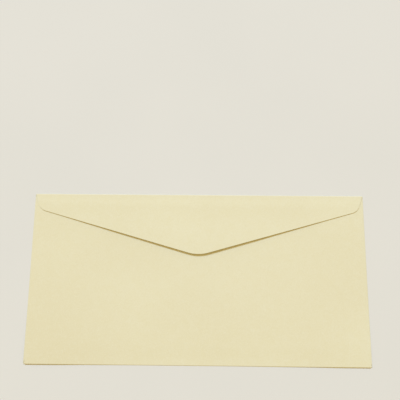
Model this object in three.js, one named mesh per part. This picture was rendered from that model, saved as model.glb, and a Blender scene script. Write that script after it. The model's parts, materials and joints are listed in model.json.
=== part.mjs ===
// A gummed envelope for a third-folded letter, lying on its address face with its pointed flap
// closed but not stuck. It is one sheet of cream paper folded round an empty pocket, with a gum
// film in each side seam and a band of gum on the flap. The panels and the creases of the sheet
// are separate solids, so that the pocket stays open and the flap can turn on its crease.
//
// Millimetres and degrees. +X runs along the envelope, +Y points to the top crease and +Z is up.
// The origin lies under the middle of the closed envelope, on the surface that it rests on.

import * as THREE from "three";

// Size of the closed envelope, measured over its creases
const envelopeLength = 220;
const envelopeHeight = 110;

// Thickness of the paper and of the dried gum
const paper = 0.13;
const sealGumFilm = 0.03;
const seamGumFilm = 0.03;

// Space inside the empty pocket, and the fine space between two layers that lie on each other
const pocketGap = 0.25;
const layerClearance = 0.02;

// Back panel: its distance from the side creases, and its throat edge below the top crease
const backPanelInset = 0.8;
const throatSideDepth = 6;
const throatDip = 8;
const throatCornerRadius = 2;

// Side flaps: their width from the side crease, and their cut ends
const sideFlapWidth = 18;
const sideFlapEndGap = 1.5;
const sideFlapEndAngle = 30;
const sideFlapCornerRadius = 3;

// Gum strip in each side seam
const seamGumInset = 2;
const seamGumWidth = 9;
const seamGumEndMargin = 2;
const seamGumCornerRadius = 1;

// Seal flap: depths are measured from the top crease, and the apex is where its straight edges
// would meet if the tip weren't rounded
const flapApexDepth = 40.8;
const flapTipRadius = 25;
const flapShoulderDepth = 10.6;
const flapShoulderInset = 4;
const flapShoulderRadius = 7;
const flapCornerInset = 0.4;

// The crease holds the loose flap this far above the flat, sealed position
const flapLift = 1.3;

// Gum band on the inside of the flap
const sealGumMargin = 1.5;
const sealGumCentreWidth = 16;
const sealGumEndWidth = 7;
const sealGumEndGap = 10;
const sealGumInnerRadius = 30;
const sealGumEndRadius = 2;

// Fineness of the round stretches
const outlineArcSteps = 10;
const bendArcSteps = 8;

// Heights of the layers when the flap is pressed flat, from the address face up
const pocketFloor = paper;
const sideFlapBottom = pocketFloor + pocketGap;
const sideFlapTop = sideFlapBottom + paper;
const seamGumBottom = sideFlapTop + layerClearance;
const backPanelBottom = seamGumBottom + seamGumFilm + layerClearance;
const backPanelTop = backPanelBottom + paper;
const sealGumBottom = backPanelTop + layerClearance;
const sealFlapBottom = sealGumBottom + sealGumFilm + layerClearance;
const sealFlapTop = sealFlapBottom + paper;

// Each crease is a half round bend, as high as the layers that it joins
const bottomBendRadius = backPanelTop / 2;
const sideBendRadius = sideFlapTop / 2;
const topBendRadius = sealFlapTop / 2;

// Outer lines of the creases, and the lines where the flat panels start
const sideCreaseX = envelopeLength / 2;
const topCreaseY = envelopeHeight / 2;
const bottomCreaseY = -envelopeHeight / 2;
const frontPanelSideX = sideCreaseX - sideBendRadius;
const frontPanelTopY = topCreaseY - topBendRadius;
const frontPanelBottomY = bottomCreaseY + bottomBendRadius;
const backPanelSideX = sideCreaseX - backPanelInset;
const flapCornerX = sideCreaseX - flapCornerInset;

const LEFT = -1;
const RIGHT = 1;

const OUT_LEFT = new THREE.Vector3(-1, 0, 0);
const OUT_RIGHT = new THREE.Vector3(1, 0, 0);
const OUT_BOTTOM = new THREE.Vector3(0, -1, 0);
const OUT_TOP = new THREE.Vector3(0, 1, 0);
const UP = new THREE.Vector3(0, 0, 1);

const PAPER_COLOUR = 0xe9e1bd;
const GUM_COLOUR = 0xdccb94;

function paperMaterial() {
  return new THREE.MeshStandardMaterial({ color: PAPER_COLOUR, roughness: 0.9, metalness: 0 });
}

function gumMaterial() {
  return new THREE.MeshStandardMaterial({ color: GUM_COLOUR, roughness: 0.3, metalness: 0 });
}

// A corner of an outline, rounded by an arc where it has a radius.
function corner(x, y, radius = 0) {
  return { point: new THREE.Vector2(x, y), radius };
}

// A closed outline through corners, in order.
function roundedShape(corners) {
  const shape = new THREE.Shape();
  corners.forEach(({ point, radius }, i) => {
    const before = corners.at(i - 1).point;
    const after = corners[(i + 1) % corners.length].point;
    const arriving = point.clone().sub(before).normalize();
    const leaving = after.clone().sub(point).normalize();
    const turn = Math.atan2(arriving.cross(leaving), arriving.dot(leaving));
    const start = point.clone().addScaledVector(arriving, -radius * Math.tan(Math.abs(turn) / 2));
    if (i === 0) shape.moveTo(start.x, start.y);
    else shape.lineTo(start.x, start.y);
    if (radius > 0) {
      const toCentre = new THREE.Vector2(-arriving.y, arriving.x).multiplyScalar(Math.sign(turn));
      const centre = start.clone().addScaledVector(toCentre, radius);
      const from = Math.atan2(-toCentre.y, -toCentre.x);
      shape.absarc(centre.x, centre.y, radius, from, from + turn, turn < 0);
    }
  });
  shape.closePath();
  return shape;
}

// A flat layer with the given outline, from the height bottom up.
function layer(name, shape, thickness, bottom, material) {
  const geometry = new THREE.ExtrudeGeometry(shape, {
    depth: thickness,
    bevelEnabled: false,
    curveSegments: outlineArcSteps,
  });
  const mesh = new THREE.Mesh(geometry, material);
  mesh.name = name;
  mesh.position.z = bottom;
  return mesh;
}

// A bend of the paper along a crease. Its section turns about the bend's centre from one angle to
// another, counted from the direction outward towards up, and its run lies along the crease.
function bend(name, outerRadius, fromAngle, toAngle, run, outward, centre) {
  const from = THREE.MathUtils.degToRad(fromAngle);
  const to = THREE.MathUtils.degToRad(toAngle);
  const section = new THREE.Shape();
  section.absarc(0, 0, outerRadius, from, to, false);
  section.absarc(0, 0, outerRadius - paper, to, from, true);
  section.closePath();
  const geometry = new THREE.ExtrudeGeometry(section, {
    depth: run,
    bevelEnabled: false,
    curveSegments: bendArcSteps,
  });
  geometry.translate(0, 0, -run / 2);
  const mesh = new THREE.Mesh(geometry, paperMaterial());
  const along = new THREE.Vector3().crossVectors(outward, UP);
  mesh.name = name;
  mesh.quaternion.setFromRotationMatrix(new THREE.Matrix4().makeBasis(outward, UP, along));
  mesh.position.copy(centre);
  return mesh;
}

// Front panel: the plain address face, underneath.
function frontPanel() {
  const shape = roundedShape([
    corner(-frontPanelSideX, frontPanelBottomY),
    corner(frontPanelSideX, frontPanelBottomY),
    corner(frontPanelSideX, frontPanelTopY),
    corner(-frontPanelSideX, frontPanelTopY),
  ]);
  return layer("front_panel", shape, paper, 0, paperMaterial());
}

const throatSideY = topCreaseY - throatSideDepth;

// Height of the throat edge, a shallow parabola, at a distance from the middle.
function throatY(x) {
  return throatSideY - throatDip * (1 - (x / backPanelSideX) ** 2);
}

// Back panel: folded up from the bottom crease and glued over both side flaps. Its top edge is the
// throat, dipped so that the letter can be gripped.
function backPanel() {
  const cornerX = backPanelSideX - throatCornerRadius;
  const shape = new THREE.Shape();
  shape.moveTo(-backPanelSideX, frontPanelBottomY);
  shape.lineTo(backPanelSideX, frontPanelBottomY);
  shape.lineTo(backPanelSideX, throatY(cornerX) - throatCornerRadius);
  shape.absarc(cornerX, throatY(cornerX) - throatCornerRadius, throatCornerRadius, 0, Math.PI / 2, false);
  const throatControlY = throatY(cornerX) - 2 * (throatY(cornerX) - throatY(0));
  shape.quadraticCurveTo(0, throatControlY, -cornerX, throatY(cornerX));
  shape.absarc(
    -cornerX,
    throatY(cornerX) - throatCornerRadius,
    throatCornerRadius,
    Math.PI / 2,
    Math.PI,
    false,
  );
  shape.closePath();
  return layer("back_panel", shape, paper, backPanelBottom, paperMaterial());
}

// How far the slanted end of a side flap has drawn in at a distance from the side bend.
function sideFlapEndSlant(distance) {
  return sideFlapEndGap + distance * Math.tan(THREE.MathUtils.degToRad(sideFlapEndAngle));
}

// Side flap: folded in from the side crease, between the pocket and the back panel.
function sideFlap(name, side) {
  const innerX = sideCreaseX - sideFlapWidth;
  const slant = sideFlapEndSlant(frontPanelSideX - innerX);
  const shape = roundedShape([
    corner(side * frontPanelSideX, frontPanelBottomY + sideFlapEndGap),
    corner(side * frontPanelSideX, frontPanelTopY - sideFlapEndGap),
    corner(side * innerX, frontPanelTopY - slant, sideFlapCornerRadius),
    corner(side * innerX, frontPanelBottomY + slant, sideFlapCornerRadius),
  ]);
  return layer(name, shape, paper, sideFlapBottom, paperMaterial());
}

// Seam gum: the dried strip that holds the back panel on a side flap.
function seamGum(name, side) {
  const outerX = frontPanelSideX - seamGumInset;
  const innerX = outerX - seamGumWidth;
  const slant = sideFlapEndSlant(frontPanelSideX - innerX);
  const bottomY = frontPanelBottomY + slant + seamGumEndMargin;
  const topY = Math.min(frontPanelTopY - slant, throatY(innerX)) - seamGumEndMargin;
  const shape = roundedShape([
    corner(side * innerX, bottomY, seamGumCornerRadius),
    corner(side * outerX, bottomY, seamGumCornerRadius),
    corner(side * outerX, topY, seamGumCornerRadius),
    corner(side * innerX, topY, seamGumCornerRadius),
  ]);
  return layer(name, shape, seamGumFilm, seamGumBottom, gumMaterial());
}

// Bottom fold: turns the front panel into the back panel.
function bottomFold() {
  const centre = new THREE.Vector3(0, frontPanelBottomY, bottomBendRadius);
  return bend("bottom_fold", bottomBendRadius, -90, 90, 2 * backPanelSideX, OUT_BOTTOM, centre);
}

// Side fold: turns the front panel into a side flap.
function sideFold(name, side, outward) {
  const run = frontPanelTopY - frontPanelBottomY;
  const middleY = (frontPanelTopY + frontPanelBottomY) / 2;
  const centre = new THREE.Vector3(side * frontPanelSideX, middleY, sideBendRadius);
  return bend(name, sideBendRadius, -90, 90, run, outward, centre);
}

// Front half of the top fold: from the front panel up to the crease line.
function topFoldFront() {
  const centre = new THREE.Vector3(0, frontPanelTopY, topBendRadius);
  return bend("top_fold_front", topBendRadius, -90, 0, 2 * flapCornerX, OUT_TOP, centre);
}

// The flap and what moves with it turn about the crease line, the outermost line of the top fold.
// Inside this group y and z are counted from that line, with the flap flat.
function turningFlap() {
  const flap = new THREE.Group();
  flap.position.set(0, topCreaseY, topBendRadius);
  flap.rotation.x = -THREE.MathUtils.degToRad(flapLift);
  flap.add(topFoldFlap(), sealFlap(), sealGum());
  return flap;
}

// Flap half of the top fold: from the crease line over to the seal flap.
function topFoldFlap() {
  const centre = new THREE.Vector3(0, -topBendRadius, 0);
  return bend("top_fold_flap", topBendRadius, 0, 90, 2 * flapCornerX, OUT_TOP, centre);
}

const flapShoulderX = sideCreaseX - flapShoulderInset;
const flapEdgeSlope = (flapApexDepth - flapShoulderDepth) / flapShoulderX;

// Seal flap: a shallow V with a rounded tip and rounded shoulders.
function sealFlap() {
  const shape = roundedShape([
    corner(flapCornerX, -topBendRadius),
    corner(-flapCornerX, -topBendRadius),
    corner(-flapShoulderX, -flapShoulderDepth, flapShoulderRadius),
    corner(0, -flapApexDepth, flapTipRadius),
    corner(flapShoulderX, -flapShoulderDepth, flapShoulderRadius),
  ]);
  return layer("seal_flap", shape, paper, sealFlapBottom - topBendRadius, paperMaterial());
}

// Seal gum: the moistenable band along the V edges, on the inside of the flap. It is widest at the
// tip and stops short of the shoulders.
function sealGum() {
  const outerApexDepth = flapApexDepth - sealGumMargin * Math.hypot(1, flapEdgeSlope);
  const endX = flapShoulderX - sealGumEndGap;
  const outerEndDepth = outerApexDepth - flapEdgeSlope * endX;
  const innerApexDepth = outerApexDepth - sealGumCentreWidth;
  const innerEndDepth = outerEndDepth - sealGumEndWidth;
  const shape = roundedShape([
    corner(0, -outerApexDepth, flapTipRadius - sealGumMargin),
    corner(endX, -outerEndDepth, sealGumEndRadius),
    corner(endX, -innerEndDepth, sealGumEndRadius),
    corner(0, -innerApexDepth, sealGumInnerRadius),
    corner(-endX, -innerEndDepth, sealGumEndRadius),
    corner(-endX, -outerEndDepth, sealGumEndRadius),
  ]);
  return layer("seal_gum", shape, sealGumFilm, sealGumBottom - topBendRadius, gumMaterial());
}

const envelope = new THREE.Group();
envelope.name = "gummed_envelope";
envelope.add(
  frontPanel(),
  backPanel(),
  sideFlap("left_side_flap", LEFT),
  sideFlap("right_side_flap", RIGHT),
  seamGum("left_seam_gum", LEFT),
  seamGum("right_seam_gum", RIGHT),
  bottomFold(),
  sideFold("left_side_fold", LEFT, OUT_LEFT),
  sideFold("right_side_fold", RIGHT, OUT_RIGHT),
  topFoldFront(),
  turningFlap(),
);

export default envelope;
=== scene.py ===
# %% [markdown]
# # A gummed envelope
# A letter envelope is one sheet of paper, folded round an empty pocket, with a little dried gum.
# It looks like the simplest thing to model, and that is the lesson: with no parts to hide behind,
# the look comes from how thin the sheet is, how it lies, how its creases turn, and what light does
# under a flap that stands a millimetre or two clear of the paper below it.

import json
import math

import bmesh
import bpy
from mathutils import Euler, Matrix, Vector


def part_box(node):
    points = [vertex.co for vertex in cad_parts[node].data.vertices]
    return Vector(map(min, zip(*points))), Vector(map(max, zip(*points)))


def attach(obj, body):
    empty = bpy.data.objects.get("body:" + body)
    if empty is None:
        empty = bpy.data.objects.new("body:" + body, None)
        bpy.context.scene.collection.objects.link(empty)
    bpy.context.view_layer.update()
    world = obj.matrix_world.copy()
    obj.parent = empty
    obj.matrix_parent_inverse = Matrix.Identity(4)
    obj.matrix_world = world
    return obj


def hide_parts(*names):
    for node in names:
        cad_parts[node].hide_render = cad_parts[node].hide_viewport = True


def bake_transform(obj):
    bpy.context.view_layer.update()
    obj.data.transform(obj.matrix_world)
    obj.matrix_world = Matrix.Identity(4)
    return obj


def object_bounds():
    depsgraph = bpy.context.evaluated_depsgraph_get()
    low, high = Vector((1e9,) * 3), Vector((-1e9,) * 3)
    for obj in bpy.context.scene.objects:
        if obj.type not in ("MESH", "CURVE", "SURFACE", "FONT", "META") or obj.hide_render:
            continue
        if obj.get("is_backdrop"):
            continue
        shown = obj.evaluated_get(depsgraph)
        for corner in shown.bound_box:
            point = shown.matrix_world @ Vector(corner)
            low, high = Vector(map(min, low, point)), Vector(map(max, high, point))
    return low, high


MM = 0.001
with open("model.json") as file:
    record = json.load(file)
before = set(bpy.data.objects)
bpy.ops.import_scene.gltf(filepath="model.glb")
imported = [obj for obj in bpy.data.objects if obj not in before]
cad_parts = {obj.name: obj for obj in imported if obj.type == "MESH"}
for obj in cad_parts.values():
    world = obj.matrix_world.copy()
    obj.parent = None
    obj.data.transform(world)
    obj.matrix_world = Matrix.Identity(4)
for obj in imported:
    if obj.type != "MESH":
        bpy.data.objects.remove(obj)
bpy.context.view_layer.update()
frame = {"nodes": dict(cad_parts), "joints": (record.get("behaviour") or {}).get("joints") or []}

# %% [markdown]
# ## Sizes
# The frame already holds every size of the envelope, so nothing is measured twice. The creases lie
# where the bends are, the heights of the layers are the heights of the flat panels, and the flap
# turns on the line that the hinge gives. What a folded sheet needs besides are its thickness and
# the angle at which the crease holds the loose flap open, which is where the hinge's range starts.

# %% Read the sizes from the frame
hinge = frame["joints"][0]
HINGE = Vector(hinge["pos_m"])
FLAP_LIFT = math.radians(-hinge["range_deg"][0])
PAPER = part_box("front_panel")[1].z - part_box("front_panel")[0].z
SIDE_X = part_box("right_side_fold")[1].x
TOP_Y = HINGE.y
BOTTOM_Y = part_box("bottom_fold")[0].y
print(f"paper {PAPER / MM:.2f} mm, flap held {math.degrees(FLAP_LIFT):.1f} degrees open")
print(f"envelope {2 * SIDE_X / MM:.0f} x {(TOP_Y - BOTTOM_Y) / MM:.0f} mm")

# %% [markdown]
# ## Camera
# The envelope is seen from a little in front of straight above, through a normal lens from about
# a third of a metre away. A camera can be aimed at a point, but this envelope lies in the lower
# half of the picture, so the point would be on the bare table. It is plainer to give the camera's
# place and how far it leans away from looking straight down.

# %% Make the camera
LENS = 45
SENSOR_WIDTH = 36
CAMERA_AT = Vector((4.4, -14.5, 329.9)) * MM
CAMERA_LEAN = (11.35, 0.5, 0.55)

camera_data = bpy.data.cameras.new("camera")
camera_data.lens = LENS
camera_data.sensor_width = SENSOR_WIDTH
camera = bpy.data.objects.new("camera", camera_data)
camera.location = CAMERA_AT
camera.rotation_euler = Euler([math.radians(a) for a in CAMERA_LEAN])
bpy.context.scene.collection.objects.link(camera)
bpy.context.scene.camera = camera
print("camera height in mm:", round(CAMERA_AT.z / MM))

# %% [markdown]
# ## Nodes in short
# Every finish here is a small graph of nodes. Written out, a node takes a line for itself and one
# more for each input. So one helper feeds a node: a plain value is written on the socket, and
# another node's output is linked to it. With that, a material reads like a recipe.

# %% Helpers for nodes
def new_material(name):
    """A material with its node tree and its one Principled shader."""
    material = bpy.data.materials.new(name)
    material.use_nodes = True
    return material, material.node_tree, material.node_tree.nodes["Principled BSDF"]


def feed(tree, node, inputs):
    """Gives a node values or other nodes' outputs, by socket name or number."""
    for name, value in inputs.items():
        if isinstance(value, bpy.types.NodeSocket):
            tree.links.new(value, node.inputs[name])
        else:
            node.inputs[name].default_value = value


def add(tree, kind, inputs=None, **settings):
    """A new node of that kind, with its settings and inputs."""
    node = tree.nodes.new("ShaderNode" + kind)
    for name, value in settings.items():
        setattr(node, name, value)
    feed(tree, node, inputs or {})
    return node


print("helpers:", ", ".join(helper.__name__ for helper in (new_material, feed, add)))

# %% [markdown]
# ### Noise, ramps and mixes
# The steps of a finish are nearly always the same few: a noise, a little arithmetic, a value
# carried to another range, two colours mixed, and a height that raises the surface. Node groups
# could hold them, but a function says it in fewer lines and leaves a plain graph. A noise is asked
# for by the real size of its features, so that the pattern has the same scale on every piece.

# %% Noise, ramps and mixes
def noise(tree, place, size, detail, waver=0.0):
    """A noise with features of about that size."""
    inputs = {"Vector": place, "Scale": 1 / size, "Detail": detail, "Distortion": waver}
    return add(tree, "TexNoise", inputs).outputs["Fac"]


def maths(tree, operation, first, second=0.0):
    """The output of a Math node."""
    return add(tree, "Math", {0: first, 1: second}, operation=operation).outputs[0]


def ramp(tree, value, low, high, to_low=0.0, to_high=1.0):
    """value, carried smoothly from low..high to to_low..to_high."""
    inputs = {"Value": value, "From Min": low, "From Max": high, "To Min": to_low, "To Max": to_high}
    return add(tree, "MapRange", inputs, interpolation_type="SMOOTHSTEP").outputs["Result"]


def mix(tree, share, first, second):
    """A colour between first and second, which a colour Mix node takes on its sockets 6 and 7."""
    return add(tree, "Mix", {0: share, 6: first, 7: second}, data_type="RGBA").outputs[2]


def bump(tree, height, strength, depth):
    """The shading normal of a surface that height raises by depth."""
    inputs = {"Height": height, "Strength": strength, "Distance": depth}
    return add(tree, "Bump", inputs).outputs["Normal"]


print("steps:", ", ".join(step.__name__ for step in (noise, maths, ramp, mix, bump)))

# %% [markdown]
# ## Cream wove paper
# Uncoated writing paper is a felt of fibres about a millimetre long. Held close it shows three
# things: soft clouds a few millimetres across, where the felt is thicker, fine flecks where fibres
# lie in bundles, and a dull, very slightly pitted surface without shine. A picture of paper would
# blur close up and repeat, so the finish is made of noise. The flecks come from two layers of
# stretched noise that lie across each other, because fibres settle in more than one direction. The
# Mapping node is set to Texture, which turns the noise before it stretches it, so that both layers
# really lie along their own direction.

# %% Fibres
FIBRE_SIZE = 0.4 * MM
FIBRE_STRETCH = 4.0
FIBRE_TURNS = (math.radians(20), math.radians(100))
FIBRE_DETAIL = 3.0
FIBRE_WAVER = 0.6


def fibre_noise(tree, place, turn):
    """Long thin flecks that lie along one direction."""
    inputs = {"Vector": place, "Rotation": (0, 0, turn), "Scale": (FIBRE_STRETCH, 1, 1)}
    laid = add(tree, "Mapping", inputs, vector_type="TEXTURE")
    return noise(tree, laid.outputs[0], FIBRE_SIZE, FIBRE_DETAIL, FIBRE_WAVER)


print("flecks stretched by:", FIBRE_STRETCH)

# %% [markdown]
# ### Painted corner shade and pale creases
# The colour goes right through the sheet, so cut edges look the same. Along each crease the
# surface is broken and a touch paler, and that paleness is also a painted highlight on the crease.
# Towards the lower left corner the paper is painted deeper, as painted shade. Both come from the
# distance to that place on the envelope, and not from image maps, so they fit whatever size the
# frame has.

# %% Crease wear and painted highlight, painted corner shade
# Creases are paler, partly from wear and partly as a painted highlight.
CREASE_PALE_WIDTH = 0.5 * MM
CREASE_PALE_SHARE = 0.5
# Painted shade, deeper towards the lower left corner.
CORNER_SHADE_REACH = (10 * MM, 95 * MM)
CORNER_SHADE_SHARE = 0.6


def crease_wear_and_highlight(tree, place):
    """Paleness from wear and a painted highlight: most on the creases, falling to none a short way from
    them.
    """
    axes = add(tree, "SeparateXYZ", {"Vector": place})
    to_side = maths(tree, "SUBTRACT", SIDE_X, maths(tree, "ABSOLUTE", axes.outputs["X"]))
    to_top = maths(tree, "SUBTRACT", TOP_Y, axes.outputs["Y"])
    to_bottom = maths(tree, "SUBTRACT", axes.outputs["Y"], BOTTOM_Y)
    nearest = maths(tree, "MINIMUM", to_side, maths(tree, "MINIMUM", to_top, to_bottom))
    return ramp(tree, nearest, 0.0, CREASE_PALE_WIDTH, CREASE_PALE_SHARE, 0.0)


def painted_corner_shade(tree, place):
    """Painted shade: deepest at the lower left corner, falling to none."""
    corner = (-SIDE_X, BOTTOM_Y, 0)
    away = add(tree, "VectorMath", {0: place, 1: corner}, operation="DISTANCE")
    return ramp(tree, away.outputs["Value"], *CORNER_SHADE_REACH, CORNER_SHADE_SHARE, 0.0)


print("painted corner shade reaches to mm from the corner:", round(CORNER_SHADE_REACH[1] / MM))

# %% [markdown]
# ### The colour
# Cream paper isn't one colour, but it is nearly one. A single cream would look like plastic, and
# strong spots would look like stone, so three creams that are close together are mixed in turn:
# clouds first, then the broad drift of tone and the painted shade at the lower left corner, then
# the flecks and the hollows between them, and last the creases, paler from wear and a painted
# highlight. Each noise is kept to a narrow band of its values, because that decides how much of
# the sheet it touches.

# %% The paper's colour
PAPER_CREAM = (0.824, 0.762, 0.505, 1)
PAPER_PALE = (0.850, 0.800, 0.575, 1)
PAPER_DEEP = (0.775, 0.695, 0.440, 1)
CLOUD_BAND = (0.35, 0.65)
CLOUD_SHARE = 0.22
TONE_BAND = (0.35, 0.70)
TONE_SHARE = 0.25
FLECK_BAND = (0.54, 0.70)
FLECK_SHARE = 0.5
HOLLOW_BAND = (0.46, 0.32)
HOLLOW_SHARE = 0.35
CREASE_PIT_BAND = (0.4, 0.6)


def paper_colour(tree, place, clouds, tone, flecks, hollows, pits):
    """Cream with pale and deep touches."""
    colour = mix(tree, ramp(tree, clouds, *CLOUD_BAND, 0.0, CLOUD_SHARE), PAPER_CREAM, PAPER_PALE)
    toned = ramp(tree, tone, *TONE_BAND, 0.0, TONE_SHARE)
    # The drift of tone is joined by painted shade towards the lower left corner.
    tone_and_corner_shade = maths(tree, "MAXIMUM", toned, painted_corner_shade(tree, place))
    colour = mix(tree, tone_and_corner_shade, colour, PAPER_DEEP)
    colour = mix(tree, ramp(tree, flecks, *FLECK_BAND, 0.0, FLECK_SHARE), colour, PAPER_PALE)
    colour = mix(tree, ramp(tree, hollows, *HOLLOW_BAND, 0.0, HOLLOW_SHARE), colour, PAPER_DEEP)
    # Along the creases the paper turns paler, partly from wear and partly as a painted highlight.
    worn_and_highlit = maths(tree, "MULTIPLY", crease_wear_and_highlight(tree, place), ramp(tree, pits, *CREASE_PIT_BAND))
    return mix(tree, worn_and_highlit, colour, PAPER_PALE)


print("creams:", PAPER_CREAM[:3], PAPER_PALE[:3], PAPER_DEEP[:3])

# %% [markdown]
# ### The whole finish
# A pattern laid on by unwrapping would break at each crease. Here all the noise lies in the
# object's own space, so it runs on from a panel into its bend. The tooth of the paper is far too
# fine for faces of its own, so it is a bump, made of the same flecks, pits and clouds as the
# colour: a pale fibre also stands a little proud.

# %% The paper's finish
CLOUD_SIZE = 5 * MM
TONE_SIZE = 60 * MM
PIT_SIZE = 0.22 * MM
CLOUD_DETAIL = 3.0
TONE_DETAIL = 1.0
PIT_DETAIL = 2.0
ROUGH_BAND = (0.3, 0.7)
PAPER_ROUGHNESS = (0.82, 0.96)
PAPER_SPECULAR = 0.3
TOOTH_DEPTH = 0.05 * MM
TOOTH_STRENGTH = 0.8


def paper_finish(name):
    """Cream wove paper, printed on neither side."""
    material, tree, shader = new_material(name)
    place = add(tree, "TexCoord").outputs["Object"]
    clouds = noise(tree, place, CLOUD_SIZE, CLOUD_DETAIL)
    tone = noise(tree, place, TONE_SIZE, TONE_DETAIL)
    pits = noise(tree, place, PIT_SIZE, PIT_DETAIL)
    along, across = (fibre_noise(tree, place, turn) for turn in FIBRE_TURNS)
    flecks = maths(tree, "MAXIMUM", along, across)
    hollows = maths(tree, "MINIMUM", along, across)
    tooth = maths(tree, "ADD", maths(tree, "ADD", flecks, pits), clouds)
    inputs = {
        "Base Color": paper_colour(tree, place, clouds, tone, flecks, hollows, pits),
        "Roughness": ramp(tree, pits, *ROUGH_BAND, *PAPER_ROUGHNESS),
        "Specular IOR Level": PAPER_SPECULAR,
        "Normal": bump(tree, tooth, TOOTH_STRENGTH, TOOTH_DEPTH),
    }
    feed(tree, shader, inputs)
    return material


paper = paper_finish("cream_wove_paper")
print("paper nodes:", len(paper.node_tree.nodes))

# %% [markdown]
# ## Dried gum
# Envelope gum is laid on wet by a roller and dries to a glassy film, slightly amber, that still
# shows the paper through it. It could be a glossy coat on the paper's own finish, but the frame
# has the film as a piece, so it gets a finish of its own, in the colour of gum over paper. It is
# the only thing here that shines, so its gloss is broken up as the real one is: by the roller's
# streaks, which run from the crease to the flap's edge, and by a fine crazing. The Mapping node
# squeezes the coordinates along the streaks, which stretches the noise that way.

# %% The gum's finish
GUM_AMBER = (0.715, 0.592, 0.322, 1)
GUM_CLEAR = (0.790, 0.700, 0.445, 1)
GUM_IOR = 1.48
FLAP_GUM_ROUGHNESS = 0.22
SEAM_GUM_ROUGHNESS = 0.5
STREAK_ROUGHNESS = 0.2
STREAK_SIZE = 1.6 * MM
STREAK_SQUEEZE = 0.12
STREAK_DETAIL = 3.0
STREAK_WAVER = 0.3
POOL_BAND = (0.35, 0.68)
GLOSS_BAND = (0.3, 0.7)
CRAZE_SIZE = 0.8 * MM
CRAZE_WIDTH = 0.06
CRAZE_SHARE = 0.35
GUM_RELIEF = 0.02 * MM
GUM_STRENGTH = 0.5


def gum_finish(name, roughness):
    """A thin film of dried gum on cream paper."""
    material, tree, shader = new_material(name)
    place = add(tree, "TexCoord").outputs["Object"]
    rolled = add(tree, "Mapping", {"Vector": place, "Scale": (1, STREAK_SQUEEZE, 1)})
    streaks = noise(tree, rolled.outputs[0], STREAK_SIZE, STREAK_DETAIL, STREAK_WAVER)
    cells = {"Vector": place, "Scale": 1 / CRAZE_SIZE}
    to_crack = add(tree, "TexVoronoi", cells, feature="DISTANCE_TO_EDGE").outputs["Distance"]
    crazing = ramp(tree, to_crack, 0.0, CRAZE_WIDTH, 0.0, CRAZE_SHARE)
    inputs = {
        "Base Color": mix(tree, ramp(tree, streaks, *POOL_BAND), GUM_CLEAR, GUM_AMBER),
        "Roughness": ramp(tree, streaks, *GLOSS_BAND, roughness, roughness + STREAK_ROUGHNESS),
        "IOR": GUM_IOR,
        "Normal": bump(tree, maths(tree, "ADD", streaks, crazing), GUM_STRENGTH, GUM_RELIEF),
    }
    feed(tree, shader, inputs)
    return material


flap_gum = gum_finish("dried_flap_gum", FLAP_GUM_ROUGHNESS)
seam_gum = gum_finish("dried_seam_gum", SEAM_GUM_ROUGHNESS)
print("gum nodes:", len(flap_gum.node_tree.nodes))

# %% [markdown]
# ## How the sheet lies
# Paper that is folded and let go never lies quite flat. A cloth simulation could lay the sheet,
# but paper hardly stretches and it moves here by tenths of a millimetre, so a few formulas are
# steadier. Every layer of the pocket takes the same rise, or one would come through another, and
# so each rise is one function of the place. The first is the curl of the two lower corners, which
# stand a little off the table.

# %% Curl
LEFT_CURL = 0.45 * MM
LEFT_CURL_WIDTH = 75 * MM
RIGHT_CURL = 0.35 * MM
RIGHT_CURL_WIDTH = 95 * MM
CURL_FROM_Y = 10 * MM


def ease(value, low, high):
    """0 up to low and 1 from high, with a smooth run between."""
    share = min(1.0, max(0.0, (value - low) / (high - low)))
    return share * share * (3 - 2 * share)


def curl(x, y):
    """How far the lower corners stand off the table."""
    height, width = (LEFT_CURL, LEFT_CURL_WIDTH) if x < 0 else (RIGHT_CURL, RIGHT_CURL_WIDTH)
    return height * ease(abs(x), SIDE_X - width, SIDE_X) * ease(-y, CURL_FROM_Y, -BOTTOM_Y)


print("left corner rises by mm:", round(curl(-SIDE_X, BOTTOM_Y) / MM, 2))
print("right corner rises by mm:", round(curl(SIDE_X, BOTTOM_Y) / MM, 2))

# %% [markdown]
# ### Pressed edges
# Near the glued creases the layers are pressed on each other. The room for that is the gap above
# the front panel. All that lies above the gap could simply be lowered, but the bends reach right
# across it and would get a step, so the pressing grows with a point's height in the gap.

# %% Press
GAP_FLOOR = PAPER
GAP_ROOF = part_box("left_side_flap")[0].z
PRESSED_SHARE = 0.75
PRESSED = PRESSED_SHARE * (GAP_ROOF - GAP_FLOOR)
PRESSED_WIDTH = 16 * MM


def share_of_gap(height, roof):
    """0 on the front panel and 1 from the roof up."""
    return min(1.0, max(0.0, (height - GAP_FLOOR) / (roof - GAP_FLOOR)))


def press(x, y):
    """How far the layers are pressed together, most at the side and bottom creases."""
    near_side = 1 - ease(SIDE_X - abs(x), 0, PRESSED_WIDTH)
    near_bottom = 1 - ease(y - BOTTOM_Y, 0, PRESSED_WIDTH)
    return PRESSED * max(near_side, near_bottom)


def on_pocket(point):
    """A point of the folded pocket, where the sheet really lies."""
    pressing = share_of_gap(point.z, GAP_ROOF) * press(point.x, point.y)
    return point + Vector((0, 0, curl(point.x, point.y) - pressing))


print("pressed by mm:", round(PRESSED / MM, 3))

# %% [markdown]
# ### The back panel
# Over the empty pocket the back panel bows out a little. Along the bottom crease, between the side
# flaps, there are only two layers instead of four, so there it closes further, and seen from
# above the lower edge fades towards its middle. Sculpting would reach the same shape, but not one
# that keeps its distance to the layers below. Under the flap nothing rises, so that the flap can
# be pressed down.

# %% Bow and shut
POCKET_BOW = 0.30 * MM
BOW_TOP_Y = 8 * MM
BOW_X = (27 * MM, 90 * MM)
BACK_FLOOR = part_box("back_panel")[0].z
SHUT = 0.22 * MM
SHUT_WIDTH = 12 * MM
SHUT_X = (72 * MM, 90 * MM)


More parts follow.
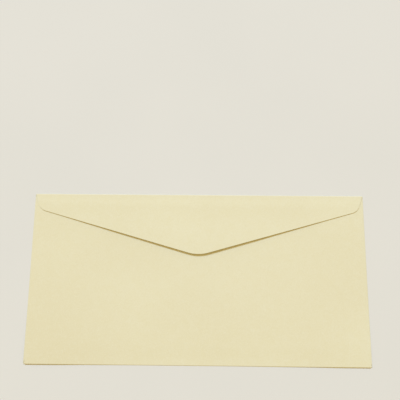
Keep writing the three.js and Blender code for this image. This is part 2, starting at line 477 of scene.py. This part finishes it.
def bow(x, y):
    """How far the back panel bows out over the empty pocket."""
    middle = (BOW_TOP_Y + BOTTOM_Y) / 2
    up = 1 - ease(abs(y - middle), 0.0, BOW_TOP_Y - middle)
    return POCKET_BOW * up * (1 - ease(abs(x), *BOW_X))


def shut(x, y):
    """How much closer the back panel comes to the front along the middle of the bottom crease."""
    near_bottom = 1 - ease(y - BOTTOM_Y, 0, SHUT_WIDTH)
    return SHUT * near_bottom * (1 - ease(abs(x), *SHUT_X))


def on_back(point):
    """A point of the back panel or of the bottom crease."""
    x, y = point.x, point.y
    closing = share_of_gap(point.z, BACK_FLOOR) * (press(x, y) + shut(x, y))
    return point + Vector((0, 0, curl(x, y) + bow(x, y) - closing))


print("gap left at the bottom crease in mm:", round((BACK_FLOOR - GAP_FLOOR - PRESSED - SHUT) / MM, 3))

# %% [markdown]
# ## From a flat outline to a sheet
# A panel could be modelled as a box, but a box has nothing between its corners to bend. So the
# outline comes from the frame's own panel, and straight cuts along and across it turn it into a
# fine net. Cuts keep the outline true, where a grid laid over it would have ragged edges.

# %% Cut the net
NET_PITCH = 3 * MM
UPWARD = 0.9
WELD = 0.001 * MM
CUT_GRIP = 0.0001 * MM


def flat_outline(node, straighten=None):
    """The upper face of a flat CAD node as one polygon."""
    outline = bmesh.new()
    outline.from_mesh(frame["nodes"][node].data)
    bmesh.ops.remove_doubles(outline, verts=outline.verts, dist=WELD)
    outline.normal_update()
    others = [face for face in outline.faces if face.normal.z < UPWARD]
    bmesh.ops.delete(outline, geom=others, context="FACES")
    bmesh.ops.dissolve_faces(outline, faces=outline.faces[:], use_verts=False)
    if straighten:
        for vertex in outline.verts:
            vertex.co = straighten(vertex.co)
    return outline


def cut_into_net(outline, pitch=NET_PITCH):
    """Cuts the polygon along and across into cells about a pitch wide."""
    for axis, across in enumerate((Vector((1, 0, 0)), Vector((0, 1, 0)))):
        low = min(vertex.co[axis] for vertex in outline.verts)
        high = max(vertex.co[axis] for vertex in outline.verts)
        cells = max(1, round((high - low) / pitch))
        for i in range(1, cells):
            all_of_it = outline.verts[:] + outline.edges[:] + outline.faces[:]
            at = across * (low + (high - low) * i / cells)
            bmesh.ops.bisect_plane(outline, geom=all_of_it, plane_co=at, plane_no=across, dist=CUT_GRIP)
    return outline


print("net pitch in mm:", round(NET_PITCH / MM, 1))

# %% [markdown]
# ### A closed sheet
# A net has no thickness. A Solidify modifier could give it one, but square to the bent surface,
# and then the layers would no longer keep the frame's heights. Instead two copies of the net, a
# paper's thickness apart and joined round the edge, make a closed sheet, and each point is moved
# to where the paper lies. Faces are shaded smooth, and the cut edge stays sharp.

# %% Make a closed sheet
SHARP_FROM = math.radians(40)


def finish_mesh(name, points, faces, material):
    """An object from points and faces, smooth but for its edges."""
    mesh = bpy.data.meshes.new(name)
    mesh.from_pydata([tuple(point) for point in points], [], faces)
    mesh.validate()
    mesh.polygons.foreach_set("use_smooth", [True] * len(mesh.polygons))
    mesh.set_sharp_from_angle(angle=SHARP_FROM)
    mesh.materials.append(material)
    made = bpy.data.objects.new(name, mesh)
    bpy.context.scene.collection.objects.link(made)
    return made


def sheet(name, net, bottom, top, place, material):
    """A closed sheet: the net at two heights, joined round the edge, each point moved by place."""
    net.verts.index_update()
    count = len(net.verts)
    points = [place(Vector((v.co.x, v.co.y, height))) for height in (bottom, top) for v in net.verts]
    faces = [[v.index for v in reversed(face.verts)] for face in net.faces]
    faces += [[v.index + count for v in face.verts] for face in net.faces]
    for edge in net.edges:
        if edge.is_boundary:
            loop = edge.link_loops[0]
            a, b = loop.vert.index, loop.link_loop_next.vert.index
            faces.append([a, b, b + count, a + count])
    net.free()
    return finish_mesh(name, points, faces, material)


print("edges count as sharp from degrees:", round(math.degrees(SHARP_FROM)))

# %% [markdown]
# ## The panels
# Underneath lies the front panel, the plain address face. The two side flaps are folded in over
# it, and the back panel is folded up from below and glued on them. Its upper edge is the throat,
# which the closed flap hides. They differ only in outline and height, and the frame gives both, so
# one function makes all four.

# %% Make the panels
def panel(name, place):
    """A panel of the pocket, which stands for the CAD node of that name."""
    low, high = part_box(name)
    made = sheet(name + "_sheet", cut_into_net(flat_outline(name)), low.z, high.z, place, paper)
    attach(made, "pocket")
    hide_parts(name)
    print(name, "faces:", len(made.data.polygons))


for name in ("front_panel", "left_side_flap", "right_side_flap"):
    panel(name, on_pocket)
panel("back_panel", on_back)

# %% [markdown]
# ## The creases
# A crease in paper is a tight half turn, about as wide as the layers that it wraps. A bevelled
# edge would give the roundness but not the hollow inside it, which shows at the open ends. So each
# crease starts as a section: an outer arc and an inner arc, a paper's thickness apart.

# %% The section of a half turn
BEND_STEPS = 24


def half_turn(radius):
    """Reach and angle of the points round the section: up the outer arc, down the inner one."""
    angles = [math.pi * (i / BEND_STEPS - 0.5) for i in range(BEND_STEPS + 1)]
    inner = radius - PAPER
    return [(radius, angle) for angle in angles] + [(inner, angle) for angle in reversed(angles)]


def run_faces(stations, size):
    """The faces of a run of sections that have size points each, with both its ends."""
    faces = []
    for i in range(stations - 1):
        for j in range(size):
            a, b = i * size + j, i * size + (j + 1) % size
            faces.append([a, b, b + size, a + size])
    faces.append(list(range(size))[::-1])
    faces.append(list(range((stations - 1) * size, stations * size)))
    return faces


print("points round a section:", len(half_turn(2 * PAPER)))

# %% [markdown]
# ### Along the crease
# A straight run of the section would part from panels that curl and bow. So the section is carried
# along in short steps, and each of its points is moved by the function that moves the panels.
# Which way the faces look depends on the way that the crease runs, so Blender turns them outward
# at the end.

# %% Carry the section along
RUN_STEP = 3 * MM


def face_outward(mesh):
    """Turns the faces of a closed mesh outward."""
    turned = bmesh.new()
    turned.from_mesh(mesh)
    bmesh.ops.recalc_face_normals(turned, faces=turned.faces)
    turned.to_mesh(mesh)
    turned.free()


def bend(name, outer, low_end, high_end, place, material):
    """A half turn of the sheet about the line from low_end to high_end. outer gives the way it
    bulges, as long as its outer radius."""
    outward = outer.normalized()
    up = Vector((0, 0, 1))
    along = high_end - low_end
    stations = max(2, round(along.length / RUN_STEP) + 1)
    section = half_turn(outer.length)
    points = []
    for i in range(stations):
        centre = low_end + along * (i / (stations - 1))
        for reach, angle in section:
            arm = outward * (reach * math.cos(angle)) + up * (reach * math.sin(angle))
            points.append(place(centre + arm, angle))
    made = finish_mesh(name, points, run_faces(stations, len(section)), material)
    face_outward(made.data)
    return made


print("step along a crease in mm:", round(RUN_STEP / MM, 1))

# %% [markdown]
# ### The bottom and side creases
# Three creases are glued in and never move again. They could be one bend round three sides, but
# the bottom one wraps more layers than the side ones and is rounder, and at each corner the sheet
# is cut away between them. So each is a piece of its own, as in the frame.

# %% Make the bottom and side folds
def pocket_bend(node, outward, low_end, high_end, place):
    """A glued-in crease of the pocket, which stands for the CAD node of that name."""
    made = bend(node + "_bend", outward, low_end, high_end, lambda point, angle: place(point), paper)
    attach(made, "pocket")
    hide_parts(node)
    print(node, "radius in mm:", round(outward.length / MM, 3))


low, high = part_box("bottom_fold")
radius = (high.z - low.z) / 2
pocket_bend(
    "bottom_fold",
    Vector((0, -radius, 0)),
    Vector((low.x, high.y, radius)),
    Vector((high.x, high.y, radius)),
    on_back,
)
for node, side in (("left_side_fold", -1), ("right_side_fold", 1)):
    low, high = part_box(node)
    radius = (high.z - low.z) / 2
    inner_x = high.x if side < 0 else low.x
    pocket_bend(
        node,
        Vector((side * radius, 0, 0)),
        Vector((inner_x, low.y, radius)),
        Vector((inner_x, high.y, radius)),
        on_pocket,
    )

# %% [markdown]
# ## The seal flap
# The flap is the piece that one looks at: a shallow V with a soft tip, held a little open by its
# crease, so that its lower edge draws the dark line across the envelope. It could be shaped where
# it stands, but it is shaped lying flat, where every height is easy to think of, and only then
# turned up about the crease. The crease was pressed by a thumb, so the flap starts out close to
# the front panel.

# %% Flat, pinched and lifted
PINCH = 0.34 * MM
PINCH_DEPTHS = (1 * MM, 8 * MM)


def lay_flat(point):
    """A point of the lifted flap, turned back about the crease to where the flap would lie flat."""
    return HINGE + Matrix.Rotation(FLAP_LIFT, 3, "X") @ (point - HINGE)


def lifted(point, share=1.0):
    """A point of the flat flap, turned up about the crease."""
    return HINGE + Matrix.Rotation(-FLAP_LIFT * share, 3, "X") @ (point - HINGE)


def flat_heights(node):
    """The lowest and highest z of a flap node with the flap laid flat."""
    heights = [lay_flat(v.co).z for v in frame["nodes"][node].data.vertices]
    return min(heights), max(heights)


FLAP_FLOOR = flat_heights("seal_gum")[0]


def pinched(point):
    """A point of the flat flap or its crease, pressed down towards the front panel."""
    near = 1 - ease(TOP_Y - point.y, *PINCH_DEPTHS)
    return point - Vector((0, 0, PINCH * share_of_gap(point.z, FLAP_FLOOR) * near))


print("flap lies flat from mm:", round(FLAP_FLOOR / MM, 2))

# %% [markdown]
# ### Curl and cockle
# Away from the crease the flap curls up towards its tip, a little later on the right than on the
# left, which is why its line is darkest at the tip and fades to the sides. The gum on its inside
# shrank as it dried and left the flap faintly cockled. Noise would make a crumpled flap of it, so
# the cockle is one even wave that a longer one makes stronger and weaker. Curl and cockle only
# ever lift the paper, because below it lies the back panel.

# %% Curl and cockle
TIP_CURL = 0.56 * MM
CURL_DEPTHS = {"left": (9 * MM, 36 * MM), "right": (14 * MM, 36 * MM)}
CURL_MIDDLE_X = (-40 * MM, 40 * MM)
COCKLE = 0.06 * MM
COCKLE_LENGTH = 31 * MM
COCKLE_START = 0.7
SWELL = 0.4
SWELL_LENGTH = 83.7 * MM
COCKLE_DEPTHS = (6 * MM, 20 * MM)


def tip_curl(x, depth):
    """How far the flap curls up at a depth below the crease."""
    left, right = (TIP_CURL * ease(depth, *CURL_DEPTHS[side]) for side in ("left", "right"))
    return left + (right - left) * ease(x, *CURL_MIDDLE_X)


def cockle(x, depth):
    """The wave that the dried gum left."""
    wave = 0.5 + 0.5 * math.sin(math.tau * x / COCKLE_LENGTH + COCKLE_START)
    swell = 1 - SWELL + SWELL * math.sin(math.tau * x / SWELL_LENGTH)
    return COCKLE * wave * swell * ease(depth, *COCKLE_DEPTHS)


print("tip curls up by mm:", round(tip_curl(0, CURL_DEPTHS["left"][1]) / MM, 2))

# %% [markdown]
# ### Shoulders
# The rounded shoulders of the flap lie close to the back panel. They could just be lowered, but
# the flap still has to go down flat when it is sealed. So they sink only into the room that the
# pressed side creases leave free below them.

# %% Make the flap
FLAP_NET_PITCH = 1.5 * MM
TUCKED = 0.95
TUCKED_X = (75 * MM, 97 * MM)


def tucked(point, rise):
    """How far the shoulders sink into the space that the pressed layers leave free."""
    space = press(point.x, point.y) + rise - (point - pinched(point)).z
    return TUCKED * ease(abs(point.x), *TUCKED_X) * max(0.0, space)


def on_flap(point):
    """A point of the flat flap, where the paper really lies."""
    depth = TOP_Y - point.y
    rise = tip_curl(point.x, depth) + cockle(point.x, depth)
    return lifted(pinched(point) + Vector((0, 0, rise - tucked(point, rise))))


bottom, top = flat_heights("seal_flap")
net = cut_into_net(flat_outline("seal_flap", lay_flat), FLAP_NET_PITCH)
seal_flap = sheet("seal_flap_sheet", net, bottom, top, on_flap, paper)
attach(seal_flap, "flap")
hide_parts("seal_flap")
print("flap faces:", len(seal_flap.data.polygons))

# %% [markdown]
# ## The top crease
# This crease works: it is the hinge. The frame has it as two stiff halves that open like the
# covers of a book when the flap turns. Paper bends instead, so here the whole half turn is one
# piece that goes with the front panel at its lower end and with the pinched flap at its upper
# end. Opened right out, it leaves the small ridge that a real crease keeps.

# %% Make the top fold
low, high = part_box("top_fold_front")
radius = high.z - low.z


def on_top_fold(point, angle):
    """A point of the top fold, turned up by more the nearer it is to the flap."""
    return lifted(pinched(point), ease(angle, -math.pi / 2, math.pi / 2))


top_fold = bend(
    "top_fold",
    Vector((0, radius, 0)),
    Vector((low.x, low.y, radius)),
    Vector((high.x, low.y, radius)),
    on_top_fold,
    paper,
)
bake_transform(top_fold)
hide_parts("top_fold_front", "top_fold_flap")
print("top fold radius in mm:", round(radius / MM, 3))

# %% [markdown]
# ## The gum
# The band on the flap follows its V and is widest at the tip. The two strips in the side seams
# hold the back panel on the side flaps, and show only as a thin line from the mouth. A band of
# colour on the paper would do for a far view, but it has no edge to catch the light. So each film
# is made like a sheet of paper and laid by the same function as the paper that it sticks to, and
# the two can't come apart.

# %% Make the gum
bottom, top = flat_heights("seal_gum")
net = cut_into_net(flat_outline("seal_gum", lay_flat), FLAP_NET_PITCH)
seal_gum = sheet("seal_gum_film", net, bottom, top, on_flap, flap_gum)
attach(seal_gum, "flap")
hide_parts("seal_gum")
print("seal_gum faces:", len(seal_gum.data.polygons))

for node in ("left_seam_gum", "right_seam_gum"):
    low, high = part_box(node)
    strip = sheet(node + "_film", cut_into_net(flat_outline(node)), low.z, high.z, on_pocket, seam_gum)
    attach(strip, "pocket")
    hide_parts(node)
    print(node, "thickness in mm:", round((high.z - low.z) / MM, 3))

# %% [markdown]
# ## The table
# The table is a pale matt board. It lies a hair below the envelope, because two faces in one plane
# would flicker through each other. A board that just ends draws a hard line across a low view, and
# one that goes on for ever ends in a horizon. So this one fades into the backdrop far from the
# envelope, as a photographer's paper sweep does.

# %% Make the table
TABLE_PALE = (0.792, 0.768, 0.692, 1)
TABLE_SHADE = (0.768, 0.748, 0.675, 1)
TABLE_ROUGHNESS = 0.9
TABLE_SPECULAR = 0.2
TABLE_SIZE = 3.0
TABLE_DROP = 0.02 * MM
DRIFT_SIZE = 110 * MM
DRIFT_DETAIL = 2.0
DRIFT_BAND = (0.3, 0.7)
DRIFT_SHARE = 0.6
GRAIN_SIZE = 2.5 * MM
GRAIN_DETAIL = 4.0
GRAIN_RELIEF = 0.05 * MM
GRAIN_STRENGTH = 0.2
FADE_REACH = (0.3, 1.0)


def table_finish(name):
    """A pale matt board with a faint, fine grain, which fades out far from the envelope."""
    material, tree, shader = new_material(name)
    place = add(tree, "TexCoord").outputs["Object"]
    grain = noise(tree, place, GRAIN_SIZE, GRAIN_DETAIL)
    drift = noise(tree, place, DRIFT_SIZE, DRIFT_DETAIL)
    shade = ramp(tree, drift, *DRIFT_BAND, 0.0, DRIFT_SHARE)
    away = add(tree, "VectorMath", {0: place}, operation="LENGTH").outputs["Value"]
    inputs = {
        "Base Color": mix(tree, shade, TABLE_PALE, TABLE_SHADE),
        "Roughness": TABLE_ROUGHNESS,
        "Specular IOR Level": TABLE_SPECULAR,
        "Normal": bump(tree, grain, GRAIN_STRENGTH, GRAIN_RELIEF),
        "Alpha": ramp(tree, away, *FADE_REACH, 1.0, 0.0),
    }
    feed(tree, shader, inputs)
    return material


half = TABLE_SIZE / 2
corners = [(x, y, -TABLE_DROP) for x, y in ((-half, -half), (half, -half), (half, half), (-half, half))]
table = finish_mesh("table", corners, [[0, 1, 2, 3]], table_finish("pale_table"))
table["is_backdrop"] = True
print("table in m:", TABLE_SIZE)

# %% [markdown]
# ## The light
# A broad lamp stands far above and behind the envelope and a little to the left, and throws the
# flap's shadow towards the camera. It is cool, as daylight is. A sun would be simpler, but it
# lights every place with the same strength. The lamp's light falls off a little over the table,
# as that of a window does.

# %% Make the lamp
LAMP_FROM = Vector((-2.0, 9.0, 10.8))
LAMP_SIZE = 3.12
LAMP_POWER = 1208
LAMP_COLOUR = (0.72, 1.0, 1.54)

lamp_data = bpy.data.lights.new("window_lamp", "AREA")
lamp_data.shape = "SQUARE"
lamp_data.size = LAMP_SIZE
lamp_data.energy = LAMP_POWER
lamp_data.color = LAMP_COLOUR
lamp = bpy.data.objects.new("window_lamp", lamp_data)
lamp.location = LAMP_FROM
lamp.rotation_euler = LAMP_FROM.to_track_quat("Z", "Y").to_euler()
bpy.context.scene.collection.objects.link(lamp)
print("lamp height above the table in mm:", round(LAMP_FROM.z / MM))

# %% [markdown]
# ### The sky
# A lamp alone would leave the shadow under the flap black, so an even sky fills it. The sky is
# warm, as the bounce of a cream room is. Its colour and the lamp's cancel out, so where both
# arrive, the paper shows its own colour, and where only the sky arrives, the shadow turns
# golden. Seen straight, the sky is as pale as the table, so low views end in a quiet background.
# The Light Path node tells the two apart.

# %% Make the sky
SKY_COLOUR = (1.26, 1.0, 0.50, 1)
SKY_STRENGTH = 0.52
BACKDROP = (0.790, 0.775, 0.700, 1)

sky = bpy.data.worlds.new("studio_sky")
sky.use_nodes = True
tree = sky.node_tree
fill = tree.nodes["Background"]
feed(tree, fill, {"Color": SKY_COLOUR, "Strength": SKY_STRENGTH})
backdrop = add(tree, "Background", {"Color": BACKDROP, "Strength": 1.0})
seen = add(tree, "LightPath").outputs["Is Camera Ray"]
shown = add(tree, "MixShader", {0: seen, 1: fill.outputs[0], 2: backdrop.outputs[0]})
feed(tree, tree.nodes["World Output"], {"Surface": shown.outputs[0]})
bpy.context.scene.world = sky
bpy.context.scene.view_settings.view_transform = "Standard"
print("sky strength:", SKY_STRENGTH)

# %% [markdown]
# ## Finish
# The last cell prints the box of the dressed model.

# %% Write the sizes and finish
bpy.context.view_layer.update()
low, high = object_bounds()
print("visual box in mm:", [round(v / MM, 2) for v in (*low, *high)])
